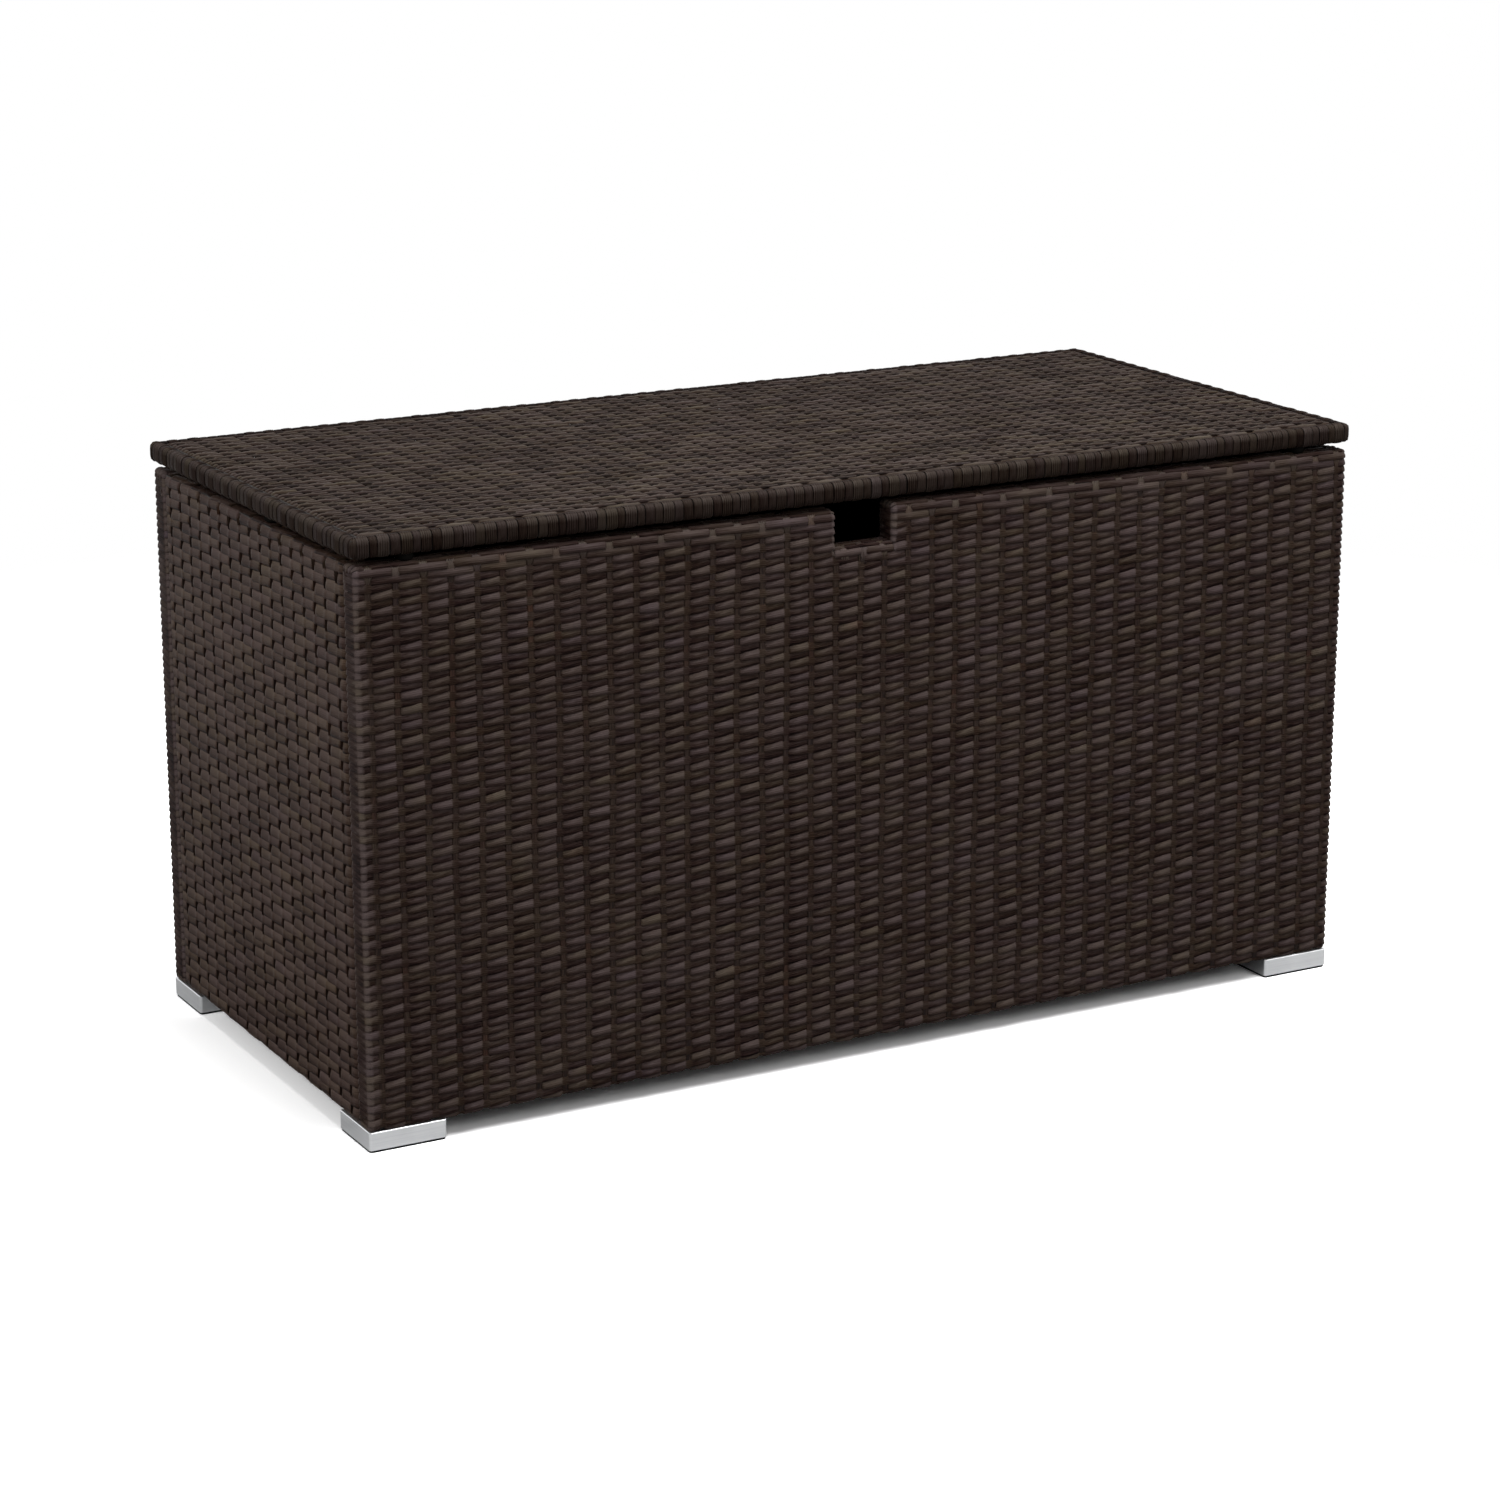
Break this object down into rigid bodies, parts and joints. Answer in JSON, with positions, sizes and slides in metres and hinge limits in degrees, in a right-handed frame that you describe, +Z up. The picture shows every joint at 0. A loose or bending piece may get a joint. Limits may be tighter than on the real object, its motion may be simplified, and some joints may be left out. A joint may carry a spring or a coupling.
{
  "type": "woven garden storage chest",
  "caption": "Low woven storage chest used as a coffee table, with a hinged lid, a finger notch in the front wall, gas stays and metal feet.",
  "frame": {"origin": "on the floor under the middle of the closed chest", "axes": "+X along the chest to the right, -Y out of the front wall with the finger notch, +Z up"},
  "size_m": [1.208, 0.552, 0.6385],
  "materials": {
    "woven_walls": "semi-matte woven strip, dark brown",
    "woven_lid": "semi-matte woven strip, dark brown",
    "lid_edge": "semi-matte bound strip, dark brown",
    "woven_floor": "semi-matte woven strip, dark brown",
    "frame_tube": "powder-coated grey",
    "foot_metal": "satin, lightly brushed",
    "glide_pad": "matt black",
    "fastener_steel": "zinc plated",
    "hinge_steel": "brushed",
    "bumper_rubber": "matt black",
    "stay_black": "satin black",
    "stay_chrome": "polished"
  },
  "bodies": {
    "chest": {"front_frame": "frame_tube", "back_frame": "frame_tube", "left_frame": "frame_tube", "right_frame": "frame_tube", "floor_frame": "frame_tube", "front_weave": "woven_walls", "back_weave": "woven_walls", "left_weave": "woven_walls", "right_weave": "woven_walls", "floor_weave": "woven_floor", "wall_bolts": "fastener_steel", "rivet_nuts": "fastener_steel", "foot_front_left": "foot_metal", "foot_front_right": "foot_metal", "foot_back_left": "foot_metal", "foot_back_right": "foot_metal", "pad_front_left": "glide_pad", "pad_front_right": "glide_pad", "pad_back_left": "glide_pad", "pad_back_right": "glide_pad", "foot_screws": "fastener_steel", "hinge_base_left": "hinge_steel", "hinge_base_middle": "hinge_steel", "hinge_base_right": "hinge_steel", "hinge_base_screws": "fastener_steel", "hinge_pin_left": "hinge_steel", "hinge_pin_middle": "hinge_steel", "hinge_pin_right": "hinge_steel", "stay_base_left": "fastener_steel", "stay_base_right": "fastener_steel", "stay_base_screws": "fastener_steel"},
    "lid": {"lid_frame": "frame_tube", "lid_weave": "woven_lid", "lid_binding": "lid_edge", "hinge_lid_left": "hinge_steel", "hinge_lid_middle": "hinge_steel", "hinge_lid_right": "hinge_steel", "hinge_lid_screws": "fastener_steel", "bumper_front_left": "bumper_rubber", "bumper_front_right": "bumper_rubber", "bumper_side_left": "bumper_rubber", "bumper_side_right": "bumper_rubber", "stay_lid_left": "fastener_steel", "stay_lid_right": "fastener_steel", "stay_lid_screws": "fastener_steel"},
    "stay_cylinder_left": {"stay_cylinder_left": "stay_black", "stay_guide_left": "fastener_steel"},
    "stay_rod_left": {"stay_rod_left": "stay_chrome", "stay_end_left": "stay_black"},
    "stay_cylinder_right": {"stay_cylinder_right": "stay_black", "stay_guide_right": "fastener_steel"},
    "stay_rod_right": {"stay_rod_right": "stay_chrome", "stay_end_right": "stay_black"}
  },
  "joints": [
    {"name": "lid_hinge", "type": "hinge", "parent": "chest", "child": "lid", "pos_m": [0, 0.2725, 0.61275], "axis": [-1, 0, 0], "range_deg": [0, 80]},
    {"name": "stay_pivot_left", "type": "hinge", "parent": "chest", "child": "stay_cylinder_left", "pos_m": [-0.556, 0.225, 0.439], "axis": [-1, 0, 0], "range_deg": [0, 29.83]},
    {"name": "stay_slide_left", "type": "slide", "parent": "stay_cylinder_left", "child": "stay_rod_left", "axis": [0, -0.4494, 0.8933], "range_m": [0, 0.1174]},
    {"name": "stay_pivot_right", "type": "hinge", "parent": "chest", "child": "stay_cylinder_right", "pos_m": [0.556, 0.225, 0.439], "axis": [-1, 0, 0], "range_deg": [0, 29.83]},
    {"name": "stay_slide_right", "type": "slide", "parent": "stay_cylinder_right", "child": "stay_rod_right", "axis": [0, -0.4494, 0.8933], "range_m": [0, 0.1174]}
  ],
  "couplings": [
    {"joint": "stay_pivot_left", "follows": "lid_hinge", "ratio": 0.37035},
    {"joint": "stay_slide_left", "follows": "lid_hinge", "m_per_rad": 0.083717},
    {"joint": "stay_pivot_right", "follows": "lid_hinge", "ratio": 0.37035},
    {"joint": "stay_slide_right", "follows": "lid_hinge", "m_per_rad": 0.083717}
  ]
}
